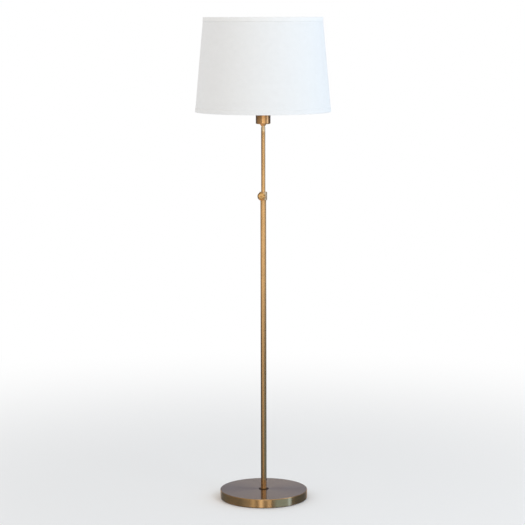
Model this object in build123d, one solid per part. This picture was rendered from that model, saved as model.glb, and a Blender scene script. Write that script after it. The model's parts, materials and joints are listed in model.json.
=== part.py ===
from build123d import *
import os
from math import atan2, cos, radians, sin, tan

# Adjustable floor lamp: a weighted round foot, a telescoping pole held by a side clamp,
# and a tapered hardback shade hung on a harp. Millimetres, +Z up, floor at z = 0.

# Foot
felt_thickness = 2.0
felt_inset = 4.0
base_diameter = 266.7
base_height = 25.4
base_wall = 1.2
base_edge_round = 2.0
weight_gap = 0.4
weight_web = 12.0
weight_rim = 36.0
weight_chamfer = 2.5
washer_diameter = 30.0
washer_thickness = 1.6
nut_flats = 15.0
nut_thickness = 4.0
nipple_tail = 2.0
nipple_bore = 6.5
nipple_gap = 0.2
foot_ring_ledge = 1.2
foot_ring_flare = 5.0
foot_ring_height = 3.5
foot_ring_lip = 1.2
plug_height = 20.0
plug_grip = 16.0

# Cord inlet in the back of the foot
cord_height = 8.0
cord_bore = 7.0
bushing_wall = 1.4
bushing_fit = 0.1
bushing_flange = 2.4
bushing_flange_thickness = 1.5
bushing_tail = 5.0
bushing_catch = 0.5
bushing_catch_gap = 0.3
bushing_catch_length = 1.5
channel_gap = 0.4

# Telescoping pole
inner_tube_diameter = 12.7
inner_tube_wall = 1.4
inner_tube_length = 412.0
extension = 189.5
thread_fit = 0.1
seat_fit = 0.05
bush_fit = 0.05
bush_wall = 1.25
bush_gap = 0.1
bush_length = 12.0
bush_end_gap = 0.15
snap_ring_thickness = 0.9
snap_ring_depth = 0.4
snap_ring_lip = 0.8
travel_up = 115.0
stop_gap = 0.3
lower_tube_wall = 1.0
lower_tube_length = 894.0

# Clamp
collar_wall = 2.8
collar_height = 24.8
collar_socket = 8.0
collar_gap = 0.08
collar_chamfer = 1.0
clamp_rise = 4.4
clamp_angle = 21.0
clamp_thread_diameter = 6.0
clamp_hole_fit = 0.08
pad_thickness = 1.9
pad_gap = 0.08
pad_fit = 0.08
tip_gap = 0.1
knob_diameter = 25.0
knob_thickness = 7.0
knob_gap = 1.0
knob_back_bevel = 1.2
knob_face_bevel = 3.0
knob_web = 2.2
dimple_diameter = 3.0
dimple_depth = 0.7

# Neck and cup
neck_length = 8.6
neck_ring_height = 2.4
neck_groove = 0.9
neck_groove_height = 2.2
nipple_grip = 16.0
cup_seat_height = 6.1
cup_seat_diameter = 21.0
cup_diameter = 44.2
cup_height = 34.0
cup_wall = 1.0
cup_round = 2.5
spacer_wall = 2.5

# Bulb and its socket, each sleeve of the socket fitted round the one inside it
bulb_cap_diameter = 26.2
bulb_cap_height = 26.0
bulb_tip_diameter = 7.0
bulb_tip_height = 1.5
bulb_cap_cone = 5.0
bulb_shoulder_height = 3.0
bulb_diameter = 60.0
bulb_body_height = 44.0
bulb_dome_band = 8.0
bulb_cap_lap = 0.5
socket_fit = 0.1
screw_shell_wall = 0.4
socket_body_wall = 1.3
socket_liner_wall = 0.6
socket_shell_wall = 0.6
socket_cap_wall = 0.8
cap_hub_wall = 3.0
cap_hub_height = 6.0
cap_slope = 8.0
cap_skirt = 12.0
socket_height = 56.0
socket_body_inset = 2.5
socket_cavity = 27.0
contact_diameter = 8.0
contact_thickness = 1.2
key_rise = 6.5
key_stem_diameter = 4.0
key_fit = 0.08
key_hole_gap = 0.5
key_depth = 8.0
key_reach = 5.0
key_length = 15.0
key_width = 9.0
key_thickness = 4.0

# Harp
saddle_width = 12.0
saddle_thickness = 1.6
saddle_rise = 14.0
saddle_bend = 3.0
harp_leg_spacing = 54.0
harp_width = 114.0
harp_height = 228.6
harp_wire = 4.4
harp_shoulder_round = 50.0
harp_flare_height = 60.0
harp_flare_round = 80.0
tang_height = 9.0
tang_relief = 0.4
sleeve_gap = 0.3
sleeve_wall = 1.7
sleeve_length = 22.0
sleeve_travel = 12.0
sleeve_clear = 1.5
stud_diameter = 6.3
stud_base_diameter = 11.0
stud_crown = 3.0
stud_foot = 2.0
stud_length = 9.0
stud_fit = 0.2
finial_base_diameter = 13.0
finial_head_diameter = 15.0
finial_waist_diameter = 9.6
finial_tip_diameter = 8.0
finial_base_height = 2.0
finial_waist_height = 4.0
finial_head_height = 8.0
finial_taper = 2.5
finial_tip_height = 4.0

# Shade
shade_bottom_diameter = 406.4
shade_top_diameter = 355.6
shade_height = 281.0
shade_drop = 28.8
linen_thickness = 0.6
glue_line = 0.2
liner_thickness = 1.0
ring_wire = 3.2
ring_fit = 0.15
trim_thickness = 0.6
trim_width = 13.0
trim_fit = 0.1
spider_plate_thickness = 1.6
spider_plate_edge = 4.5
spider_wire = 2.8
spider_root = 3.0
spider_bend = 12.0
spider_arms = 3

# Radii that follow from the fits
base_radius = base_diameter / 2
inner_radius = inner_tube_diameter / 2
inner_bore = inner_radius - inner_tube_wall
nipple_radius = inner_bore - thread_fit
nipple_hole = nipple_radius + nipple_gap
pole_bore = inner_radius + bush_fit + bush_wall + bush_gap
pole_radius = pole_bore + lower_tube_wall
collar_radius = pole_radius + seat_fit + collar_wall
collar_bore = inner_radius + collar_gap
cord_radius = cord_bore / 2
barrel_radius = cord_radius + bushing_wall
clamp_radius = clamp_thread_diameter / 2
bulb_cap_radius = bulb_cap_diameter / 2
screw_shell_bore = bulb_cap_radius + socket_fit
cavity_radius = screw_shell_bore + screw_shell_wall + socket_fit
socket_body_radius = cavity_radius + socket_body_wall
socket_liner_bore = socket_body_radius + socket_fit
socket_shell_bore = socket_liner_bore + socket_liner_wall + socket_fit
socket_cap_bore = socket_shell_bore + socket_shell_wall + socket_fit
socket_cap_radius = socket_cap_bore + socket_cap_wall
key_stem_radius = key_stem_diameter / 2
key_hole_radius = key_stem_radius + key_hole_gap
harp_leg_x = harp_leg_spacing / 2
harp_wire_radius = harp_wire / 2
sleeve_bore = harp_wire_radius + sleeve_gap
stud_radius = stud_diameter / 2
stud_hole = stud_radius + stud_fit
spider_plate_radius = finial_base_diameter / 2 + spider_plate_edge
ring_radius = ring_wire / 2

# Heights, from the floor up
cover_bottom = felt_thickness
cover_top = cover_bottom + base_height
weight_top = cover_top - base_wall
web_underside = weight_top - weight_web
cord_axis = cover_bottom + cord_height
pole_foot = cover_top + foot_ring_height
pole_top = pole_foot + lower_tube_length
collar_bottom = pole_top - collar_socket
collar_top = collar_bottom + collar_height
clamp_axis = pole_top + clamp_rise
inner_top = collar_top + extension
inner_bottom = inner_top - inner_tube_length
stop_bush_top = pole_top - travel_up - stop_gap - snap_ring_thickness - bush_end_gap
guide_bush_top = inner_bottom + 2 * (snap_ring_thickness + bush_end_gap) + bush_length
neck_top = inner_top + neck_length
cup_floor = neck_top + cup_seat_height
cup_rim = cup_floor + cup_height
saddle_top = cup_rim + saddle_thickness
cap_floor = saddle_top + cap_hub_height + cap_slope
cap_top = cap_floor + cap_skirt
socket_top = cap_floor + socket_height
cavity_floor = socket_top - socket_body_inset - socket_cavity
key_axis = cap_top + key_rise
bulb_foot = cavity_floor + contact_thickness + socket_fit
bulb_cap_top = bulb_foot + bulb_cap_height
bulb_waist = bulb_cap_top + bulb_body_height
saddle_shoulder = cup_rim + saddle_rise
tang_top = saddle_shoulder + tang_height
harp_top = tang_top + harp_height
stud_seat = harp_top + stud_crown
plate_top = stud_seat + spider_plate_thickness
shade_top = stud_seat + shade_drop
shade_bottom = shade_top - shade_height

clamp_plane = Plane(
    origin=(0, 0, clamp_axis),
    x_dir=(cos(radians(clamp_angle)), -sin(radians(clamp_angle)), 0),
    z_dir=(-sin(radians(clamp_angle)), -cos(radians(clamp_angle)), 0),
)
cord_plane = Plane(origin=(0, base_radius, cord_axis), x_dir=(1, 0, 0), z_dir=(0, 1, 0))
key_plane = Plane(origin=(0, 0, key_axis), x_dir=(1, 0, 0), z_dir=(0, -1, 0))
standing = (Align.CENTER, Align.CENTER, Align.MIN)


def turned(*corners):
    """Solid turned about Z from its (radius, height) corners; a third number rounds a corner."""
    points = [(corner[0], 0, corner[1]) for corner in corners]
    rounds = [corner[2] if len(corner) > 2 else 0 for corner in corners]
    outline = FilletPolyline(*points, radius=rounds, close=True)
    return revolve(make_face(outline), Axis.Z)


def tube(outer, bore, bottom, top):
    return turned((bore, bottom), (outer, bottom), (outer, top), (bore, top))


def rod(plane, radius, start, end):
    """Round bar along a plane's normal, between two distances from its origin."""
    return plane * Pos(0, 0, start) * Cylinder(radius, end - start, align=standing)


def wire_along(path, radius):
    return sweep(Plane(origin=path @ 0, z_dir=path % 0) * Circle(radius), path=path)


def shade_radius(z):
    """Outside of the shade's linen at a height."""
    share = (z - shade_bottom) / shade_height
    return (shade_bottom_diameter + (shade_top_diameter - shade_bottom_diameter) * share) / 2


def shade_ring_place(edge, inward):
    """Radius and height of the wire ring tucked inside one edge of the shade."""
    z = edge + inward * (trim_thickness + ring_fit + ring_radius)
    wall = linen_thickness + glue_line + liner_thickness
    return shade_radius(z) - wall - ring_fit - ring_radius, z


top_ring_r, top_ring_z = shade_ring_place(shade_top, -1)
bottom_ring_r, bottom_ring_z = shade_ring_place(shade_bottom, 1)


def base_felt():
    return Cylinder(base_radius - felt_inset, felt_thickness, align=standing)


def base_cover():
    """Spun cap over the weight, with the pole's hole on top and the cord's hole at the back."""
    wall = base_radius - base_wall
    cap = turned(
        (nipple_hole, cover_top),
        (base_radius, cover_top, base_edge_round),
        (base_radius, cover_bottom),
        (wall, cover_bottom),
        (wall, weight_top),
        (nipple_hole, weight_top),
    )
    return cap - rod(cord_plane, barrel_radius + bushing_fit, -bushing_tail, bushing_tail)


def base_weight():
    """Casting with a pocket for the nut and a channel that lets the cord out at the back."""
    edge = base_radius - base_wall - weight_gap
    pocket = edge - weight_rim
    casting = turned(
        (nipple_hole, weight_top),
        (edge - weight_chamfer, weight_top),
        (edge, weight_top - weight_chamfer),
        (edge, cover_bottom),
        (pocket, cover_bottom),
        (pocket, web_underside),
        (nipple_hole, web_underside),
    )
    half_width = barrel_radius + bushing_catch + channel_gap
    channel = Box(
        2 * half_width,
        base_radius,
        cord_height + half_width,
        align=(Align.CENTER, Align.MIN, Align.MIN),
    )
    return casting - Pos(0, pocket - weight_chamfer, cover_bottom) * channel


def cord_bushing():
    """Flanged bushing whose catch snaps behind the cover's wall."""
    catch_front = -base_wall - bushing_catch_gap
    catch_back = catch_front - bushing_catch_length
    tail = -base_wall - bushing_tail
    return cord_plane * turned(
        (cord_radius, bushing_flange_thickness),
        (barrel_radius + bushing_flange, bushing_flange_thickness),
        (barrel_radius + bushing_flange, 0),
        (barrel_radius, 0),
        (barrel_radius, catch_front),
        (barrel_radius + bushing_catch, catch_front),
        (barrel_radius, catch_back),
        (barrel_radius, tail),
        (cord_radius, tail),
    )


def base_nipple():
    bottom = web_underside - washer_thickness - nut_thickness - nipple_tail
    return tube(nipple_radius, nipple_bore / 2, bottom, pole_foot + plug_grip)


def base_washer():
    return tube(washer_diameter / 2, nipple_hole, web_underside - washer_thickness, web_underside)


def base_nut():
    top = web_underside - washer_thickness
    section = RegularPolygon(nut_flats / 2, 6, major_radius=False) - Circle(nipple_radius + seat_fit)
    return Pos(0, 0, top - nut_thickness) * extrude(section, nut_thickness)


def foot_ring():
    ledge = pole_radius + foot_ring_ledge
    return turned(
        (nipple_hole, cover_top),
        (ledge + foot_ring_flare, cover_top),
        (ledge + foot_ring_flare, cover_top + foot_ring_lip),
        (ledge, pole_foot),
        (nipple_hole, pole_foot),
    )


def foot_plug():
    return tube(pole_bore - seat_fit, nipple_radius + seat_fit, pole_foot, pole_foot + plug_height)


def lower_tube():
    return tube(pole_radius, pole_bore, pole_foot, pole_top)


def clamp_collar():
    """Collar socketed on the lower tube; its step above the tube stops the upper tube's bush."""
    socket = pole_radius + seat_fit
    body = turned(
        (socket, collar_bottom),
        (collar_radius - collar_chamfer, collar_bottom),
        (collar_radius, collar_bottom + collar_chamfer),
        (collar_radius, collar_top - collar_chamfer),
        (collar_radius - collar_chamfer, collar_top),
        (collar_bore, collar_top),
        (collar_bore, pole_top),
        (socket, pole_top),
    )
    return body - rod(clamp_plane, clamp_radius + clamp_hole_fit, 0, 2 * collar_radius)


def brake_pad():
    """Plug in the clamp's hole, hollowed on its inner end to sit round the upper tube."""
    face = inner_radius + pad_gap
    plug = rod(clamp_plane, clamp_radius + clamp_hole_fit - pad_fit, 0, face + pad_thickness)
    bore = Cylinder(face, 4 * clamp_thread_diameter)
    return plug - Pos(0, 0, clamp_axis) * bore


def clamp_screw():
    tip = inner_radius + pad_gap + pad_thickness + tip_gap
    end = collar_radius + knob_gap + knob_thickness - knob_web
    return rod(clamp_plane, clamp_radius, tip, end)


def clamp_knob():
    """Round thumb knob, bevelled, with a centre dimple in its face."""
    back = collar_radius + knob_gap
    face = back + knob_thickness
    edge = knob_diameter / 2
    hole = clamp_radius + seat_fit
    return clamp_plane * turned(
        (hole, back),
        (edge - knob_back_bevel, back),
        (edge, back + knob_back_bevel),
        (edge, face - knob_face_bevel),
        (edge - knob_face_bevel, face),
        (dimple_diameter / 2, face),
        (0, face - dimple_depth),
        (0, face - knob_web),
        (hole, face - knob_web),
    )


def slide_bush(top):
    return tube(pole_bore - bush_gap, inner_radius + bush_fit, top - bush_length, top)


def snap_ring_heights():
    """Lower face of the ring under and over each bush."""
    heights = []
    for top in (stop_bush_top, guide_bush_top):
        heights.append(top - bush_length - bush_end_gap - snap_ring_thickness)
        heights.append(top + bush_end_gap)
    return heights


def snap_rings():
    bore = inner_radius - snap_ring_depth + seat_fit
    ring = tube(inner_radius + snap_ring_lip, bore, 0, snap_ring_thickness)
    return Compound([Pos(0, 0, z) * ring for z in snap_ring_heights()])


def inner_tube():
    body = tube(inner_radius, inner_bore, inner_bottom, inner_top)
    groove = tube(inner_radius + snap_ring_lip, inner_radius - snap_ring_depth, 0, snap_ring_thickness)
    return body - [Pos(0, 0, z) * groove for z in snap_ring_heights()]


def upper_nipple():
    return tube(nipple_radius, nipple_bore / 2, inner_top - nipple_grip, cap_floor - nipple_tail)


def neck_ring():
    """Turned neck with a band at its foot and a groove above it."""
    groove_bottom = inner_top + neck_ring_height
    groove_top = groove_bottom + neck_groove_height
    return turned(
        (nipple_hole, inner_top),
        (inner_radius, inner_top),
        (inner_radius, groove_bottom),
        (inner_radius - neck_groove, groove_bottom),
        (inner_radius - neck_groove, groove_top),
        (inner_radius, groove_top),
        (inner_radius, neck_top),
        (nipple_hole, neck_top),
    )


def cup_seat():
    """Cone that carries the cup on the neck."""
    return turned(
        (nipple_hole, neck_top),
        (inner_radius, neck_top),
        (cup_seat_diameter / 2, cup_floor),
        (nipple_hole, cup_floor),
    )


def socket_cup():
    edge = cup_diameter / 2
    return turned(
        (nipple_hole, cup_floor),
        (edge, cup_floor, cup_round),
        (edge, cup_rim),
        (edge - cup_wall, cup_rim),
        (edge - cup_wall, cup_floor + cup_round),
        (edge - cup_round, cup_floor + cup_wall),
        (nipple_hole, cup_floor + cup_wall),
    )


def cup_spacer():
    return tube(nipple_hole + spacer_wall, nipple_hole, cup_floor + cup_wall, cup_rim)


def harp_saddle():
    """Strip bent up at both ends, each end narrowed to a tang that enters the harp's sleeve."""
    outside = harp_leg_x + saddle_thickness / 2
    inside = harp_leg_x - saddle_thickness / 2
    outline = FilletPolyline(
        (-outside, 0, cup_rim),
        (outside, 0, cup_rim),
        (outside, 0, saddle_shoulder),
        (inside, 0, saddle_shoulder),
        (inside, 0, saddle_top),
        (-inside, 0, saddle_top),
        (-inside, 0, saddle_shoulder),
        (-outside, 0, saddle_shoulder),
        radius=[saddle_bend, saddle_bend, 0, 0, saddle_bend / 2, saddle_bend / 2, 0, 0],
        close=True,
    )
    strip = extrude(make_face(outline), saddle_width / 2, both=True)
    tang = Box(saddle_thickness, harp_wire - tang_relief, tang_height, align=standing)
    tangs = [Pos(x, 0, saddle_shoulder) * tang for x in (-harp_leg_x, harp_leg_x)]
    return strip + tangs - Pos(0, 0, cup_rim) * Cylinder(nipple_hole, saddle_thickness, align=standing)


def socket_cap():
    hub = nipple_hole + cap_hub_wall
    return turned(
        (nipple_hole, saddle_top),
        (hub, saddle_top),
        (hub, saddle_top + cap_hub_height),
        (socket_cap_radius, cap_floor),
        (socket_cap_radius, cap_top),
        (socket_cap_bore, cap_top),
        (socket_cap_bore, cap_floor),
        (nipple_hole, cap_floor),
    )


def socket_shell():
    shell = tube(socket_shell_bore + socket_shell_wall, socket_shell_bore, cap_floor, socket_top)
    return shell - rod(key_plane, key_hole_radius, 0, 2 * socket_cap_radius)


def socket_liner():
    top = socket_top - socket_body_inset
    liner = tube(socket_liner_bore + socket_liner_wall, socket_liner_bore, cap_floor, top)
    return liner - rod(key_plane, key_hole_radius, 0, 2 * socket_cap_radius)


def socket_body():
    """Moulded insert: the bulb's cavity above, the switch block with the key's bore below."""
    insert = turned(
        (0, cap_floor),
        (socket_body_radius, cap_floor),
        (socket_body_radius, socket_top - socket_body_inset),
        (cavity_radius, socket_top - socket_body_inset),
        (cavity_radius, cavity_floor),
        (0, cavity_floor),
    )
    depth = socket_body_radius - key_depth
    return insert - rod(key_plane, key_stem_radius + key_fit, depth, socket_cap_radius)


def screw_shell():
    return tube(
        screw_shell_bore + screw_shell_wall, screw_shell_bore, cavity_floor, socket_top - socket_body_inset
    )


def centre_contact():
    return Pos(0, 0, cavity_floor) * Cylinder(contact_diameter / 2, contact_thickness, align=standing)


def switch_key():
    """Turn key: a round stem in the switch block and a flat rounded grip outside the shell."""
    inner_end = socket_body_radius - key_depth + key_hole_gap
    grip_start = socket_cap_radius + key_reach
    stem = rod(key_plane, key_stem_radius, inner_end, grip_start)
    outline = SlotOverall(key_length, key_thickness)
    grip = key_plane * Pos(0, 0, grip_start) * extrude(outline, key_width)
    return stem + grip


def bulb_cap():
    """Screw cap of the bulb, down to its centre contact."""
    tip_top = bulb_foot + bulb_tip_height
    return turned(
        (0, bulb_foot),
        (bulb_tip_diameter / 2, bulb_foot),
        (bulb_tip_diameter / 2, tip_top),
        (bulb_cap_radius, tip_top + bulb_cap_cone),
        (bulb_cap_radius, bulb_cap_top),
        (0, bulb_cap_top),
    )


def bulb_body():
    """Housing that widens from the screw cap to the light-giving dome."""
    collar = bulb_cap_radius + bulb_cap_lap
    return turned(
        (0, bulb_cap_top),
        (collar, bulb_cap_top),
        (collar, bulb_cap_top + bulb_shoulder_height),
        (bulb_diameter / 2, bulb_waist),
        (0, bulb_waist),
    )


def bulb_dome():
    """Half sphere on a short straight band."""
    band = Cylinder(bulb_diameter / 2, bulb_dome_band, align=standing)
    half_sphere = Sphere(bulb_diameter / 2, arc_size1=0, align=standing)
    return Pos(0, 0, bulb_waist) * (band + Pos(0, 0, bulb_dome_band) * half_sphere)


def harp():
    """Wire bow: straight legs, flared shoulders and a rounded top with a short flat for the stud."""
    half = harp_width / 2
    flare_turn = atan2(half - harp_leg_x, harp_flare_height)
    lifted_top = saddle_shoulder + sleeve_gap + sleeve_length + sleeve_travel
    flare_foot = lifted_top + sleeve_clear + harp_flare_round * tan(flare_turn / 2)
    flare_head = flare_foot + harp_flare_height
    crown = harp_top - harp_wire_radius
    path = FilletPolyline(
        (-harp_leg_x, 0, tang_top),
        (-harp_leg_x, 0, flare_foot),
        (-half, 0, flare_head),
        (-half, 0, crown),
        (half, 0, crown),
        (half, 0, flare_head),
        (harp_leg_x, 0, flare_foot),
        (harp_leg_x, 0, tang_top),
        radius=[harp_flare_round] * 2 + [harp_shoulder_round] * 2 + [harp_flare_round] * 2,
    )
    return wire_along(path, harp_wire_radius)


def harp_sleeve(side):
    foot = saddle_shoulder + sleeve_gap
    return Pos(side * harp_leg_x, 0, 0) * tube(
        sleeve_bore + sleeve_wall, sleeve_bore, foot, foot + sleeve_length
    )


def harp_stud():
    """Threaded post on a round base that the harp's wire passes through."""
    crown = harp_top - harp_wire_radius
    foot = harp_top - harp_wire - stud_foot
    base = stud_base_diameter / 2
    post = turned(
        (0, foot),
        (base, foot),
        (base, stud_seat),
        (stud_radius, stud_seat),
        (stud_radius, plate_top + stud_length),
        (0, plate_top + stud_length),
    )
    wire_plane = Plane(origin=(0, 0, crown), x_dir=(0, 1, 0), z_dir=(1, 0, 0))
    return post - rod(wire_plane, harp_wire_radius + seat_fit, -stud_base_diameter, stud_base_diameter)


def shade_spider():
    """Plate on the harp's stud with three wires that run out and turn up under the top ring."""
    middle = stud_seat + spider_plate_thickness / 2
    wire_radius = spider_wire / 2
    path = FilletPolyline(
        (spider_plate_radius - spider_root, 0, middle),
        (top_ring_r, 0, middle),
        (top_ring_r, 0, top_ring_z - ring_radius - ring_fit),
        radius=[spider_bend],
    )
    arm = wire_along(path, wire_radius)
    plate = tube(spider_plate_radius, stud_hole, stud_seat, plate_top)
    turn = 360 / spider_arms
    return plate + [Rot(0, 0, 90 + turn * number) * arm for number in range(spider_arms)]


def finial():
    """Turned nut on the harp's stud that holds the shade down."""
    hole = stud_radius + seat_fit
    hole_top = plate_top + stud_length + stud_fit
    waist = plate_top + finial_base_height + finial_taper
    head = waist + finial_waist_height
    tip = head + finial_head_height + finial_tip_height
    return turned(
        (hole, plate_top),
        (finial_base_diameter / 2, plate_top),
        (finial_base_diameter / 2, plate_top + finial_base_height),
        (finial_waist_diameter / 2, waist),
        (finial_head_diameter / 2, head),
        (finial_head_diameter / 2, head + finial_head_height),
        (finial_tip_diameter / 2, tip),
        (0, tip),
        (0, hole_top),
        (hole, hole_top),
    )


def shade_wall(outside, thickness):
    """Conical wall between the two trims, set in from the shade's outside."""
    low = shade_bottom + trim_thickness + trim_fit
    high = shade_top - trim_thickness - trim_fit
    return turned(
        (shade_radius(low) - outside, low),
        (shade_radius(high) - outside, high),
        (shade_radius(high) - outside - thickness, high),
        (shade_radius(low) - outside - thickness, low),
    )


def shade_trim(edge, inward, ring_r, ring_z):
    """Folded tape: a band outside, a cap over the edge and a lip tucked inside the wire ring."""
    far = edge + inward * trim_width
    cap = edge + inward * trim_thickness
    lip = ring_r - ring_radius - trim_fit
    return turned(
        (shade_radius(far) + trim_fit + trim_thickness, far),
        (shade_radius(edge) + trim_fit + trim_thickness, edge),
        (lip - trim_thickness, edge),
        (lip - trim_thickness, ring_z),
        (lip, ring_z),
        (lip, cap),
        (shade_radius(cap) + trim_fit, cap),
        (shade_radius(far) + trim_fit, far),
    )


def shade_ring(ring_r, ring_z):
    return Pos(0, 0, ring_z) * Torus(ring_r, ring_radius)


nodes = {
    "base_felt": base_felt(),
    "base_cover": base_cover(),
    "base_weight": base_weight(),
    "cord_bushing": cord_bushing(),
    "base_nipple": base_nipple(),
    "base_washer": base_washer(),
    "base_nut": base_nut(),
    "foot_ring": foot_ring(),
    "foot_plug": foot_plug(),
    "lower_tube": lower_tube(),
    "clamp_collar": clamp_collar(),
    "brake_pad": brake_pad(),
    "clamp_screw": clamp_screw(),
    "clamp_knob": clamp_knob(),
    "stop_bush": slide_bush(stop_bush_top),
    "guide_bush": slide_bush(guide_bush_top),
    "snap_rings": snap_rings(),
    "inner_tube": inner_tube(),
    "upper_nipple": upper_nipple(),
    "neck_ring": neck_ring(),
    "cup_seat": cup_seat(),
    "socket_cup": socket_cup(),
    "cup_spacer": cup_spacer(),
    "harp_saddle": harp_saddle(),
    "socket_cap": socket_cap(),
    "socket_shell": socket_shell(),
    "socket_liner": socket_liner(),
    "socket_body": socket_body(),
    "screw_shell": screw_shell(),
    "centre_contact": centre_contact(),
    "switch_key": switch_key(),
    "bulb_cap": bulb_cap(),
    "bulb_body": bulb_body(),
    "bulb_dome": bulb_dome(),
    "harp": harp(),
    "harp_sleeve_left": harp_sleeve(-1),
    "harp_sleeve_right": harp_sleeve(1),
    "harp_stud": harp_stud(),
    "shade_spider": shade_spider(),
    "finial": finial(),
    "shade_liner": shade_wall(linen_thickness + glue_line, liner_thickness),
    "shade_linen": shade_wall(0, linen_thickness),
    "shade_top_ring": shade_ring(top_ring_r, top_ring_z),
    "shade_bottom_ring": shade_ring(bottom_ring_r, bottom_ring_z),
    "shade_top_trim": shade_trim(shade_top, -1, top_ring_r, top_ring_z),
    "shade_bottom_trim": shade_trim(shade_bottom, 1, bottom_ring_r, bottom_ring_z),
}

os.makedirs("parts", exist_ok=True)
for name, shape in nodes.items():
    shape.label = name
    export_step(shape, f"parts/{name}.step")
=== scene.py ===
import json
from math import pi, radians

import bmesh
import bpy
import numpy as np
from mathutils import Matrix, Vector


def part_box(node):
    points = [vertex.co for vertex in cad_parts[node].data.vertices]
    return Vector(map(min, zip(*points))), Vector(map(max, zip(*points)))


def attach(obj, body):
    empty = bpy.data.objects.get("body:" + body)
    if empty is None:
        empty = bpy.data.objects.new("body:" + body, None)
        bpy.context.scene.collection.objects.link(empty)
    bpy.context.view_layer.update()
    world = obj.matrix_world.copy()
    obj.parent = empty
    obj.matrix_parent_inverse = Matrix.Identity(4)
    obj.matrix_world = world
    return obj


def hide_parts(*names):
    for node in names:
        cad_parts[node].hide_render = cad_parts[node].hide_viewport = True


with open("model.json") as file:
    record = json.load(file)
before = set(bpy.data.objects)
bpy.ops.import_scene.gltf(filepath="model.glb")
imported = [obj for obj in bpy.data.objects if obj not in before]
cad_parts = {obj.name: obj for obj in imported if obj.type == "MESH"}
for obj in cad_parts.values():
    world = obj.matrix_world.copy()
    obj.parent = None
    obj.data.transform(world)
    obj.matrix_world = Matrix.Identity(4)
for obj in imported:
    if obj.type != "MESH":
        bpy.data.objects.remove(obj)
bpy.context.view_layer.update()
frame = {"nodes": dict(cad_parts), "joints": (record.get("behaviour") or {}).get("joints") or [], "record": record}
nodes = frame["nodes"]
joints = {joint["name"]: joint for joint in frame["joints"]}
scene = bpy.context.scene
mm = 0.001


# Camera: its place is worked out from how the circles of the foot and the shade look in the photograph
viewpoint = {
    "imagePixels": 525,
    "focalPixels": 1873.4,
    "sensor": 36.0,
    "distance": 5.6123,
    "height": 1.4733,
    "side": -0.00268,
    "pitchDegrees": 7.57,
    "rollDegrees": -0.1,
}


def placeCamera(view):
    lens = bpy.data.cameras.new("photoCamera")
    lens.sensor_width = view["sensor"]
    lens.lens = view["focalPixels"] / view["imagePixels"] * view["sensor"]
    camera = bpy.data.objects.new("photoCamera", lens)
    tip = Matrix.Rotation(radians(90 - view["pitchDegrees"]), 4, "X")
    roll = Matrix.Rotation(radians(view["rollDegrees"]), 4, "Z")
    stand = Matrix.Translation((view["side"], -view["distance"], view["height"]))
    camera.matrix_world = stand @ tip @ roll
    scene.collection.objects.link(camera)
    scene.camera = camera


placeCamera(viewpoint)
print("camera placed")


# Shader values: sums on them become Math nodes, and any other node comes from Graph.node
class Value:
    def __init__(self, graph, socket):
        self.graph = graph
        self.socket = socket

    def sum(self, operation, first, second=0.0):
        return self.graph.node("ShaderNodeMath", {"operation": operation}, {0: first, 1: second})

    def __add__(self, other):
        return self.sum("ADD", self, other)

    __radd__ = __add__

    def __sub__(self, other):
        return self.sum("SUBTRACT", self, other)

    def __rsub__(self, other):
        return self.sum("SUBTRACT", other, self)

    def __mul__(self, other):
        return self.sum("MULTIPLY", self, other)

    __rmul__ = __mul__

    def sine(self):
        return self.sum("SINE", self)

    def size(self):
        return self.sum("ABSOLUTE", self)

    def most(self, other):
        return self.sum("MAXIMUM", self, other)

    def least(self, other):
        return self.sum("MINIMUM", self, other)


class Graph:
    def __init__(self, tree):
        self.tree = tree

    def node(self, kind, settings, inputs, output=0):
        made = self.tree.nodes.new(kind)
        for name, setting in settings.items():
            setattr(made, name, setting)
        for key, value in inputs.items():
            if isinstance(value, Value):
                self.tree.links.new(value.socket, made.inputs[key])
            else:
                made.inputs[key].default_value = value
        return Value(self, made.outputs[output])

    def outputs(self, value):
        return [Value(self, socket) for socket in value.socket.node.outputs]

    def split(self, vector):
        return self.outputs(self.node("ShaderNodeSeparateXYZ", {}, {0: vector}))

    def join(self, x, y, z):
        return self.node("ShaderNodeCombineXYZ", {}, {0: x, 1: y, 2: z})

    def vector(self, operation, first, second=(0.0, 0.0, 0.0)):
        output = 1 if operation in ("LENGTH", "DOT_PRODUCT") else 0
        return self.node("ShaderNodeVectorMath", {"operation": operation}, {0: first, 1: second}, output)

    def noise(self, place, scale, detail=2.0, roughness=0.5):
        inputs = {"Vector": place, "Scale": scale, "Detail": detail, "Roughness": roughness}
        return self.node("ShaderNodeTexNoise", {}, inputs)

    def ease(self, value, start, end):
        inputs = {"Value": value, "From Min": start, "From Max": end}
        return self.node("ShaderNodeMapRange", {"interpolation_type": "SMOOTHSTEP"}, inputs)

    def blend(self, share, first, second):
        return self.node("ShaderNodeMix", {"data_type": "RGBA"}, {0: share, 6: first, 7: second}, 2)

    def seenRays(self):
        # rays from the camera, a mirror or glass, which all show the white background
        path = {v.socket.name: v for v in self.outputs(self.node("ShaderNodeLightPath", {}, {}))}
        return path["Is Camera Ray"].most(path["Is Glossy Ray"]).most(path["Is Transmission Ray"])


def tint(color):
    return (*color, 1.0)


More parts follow.
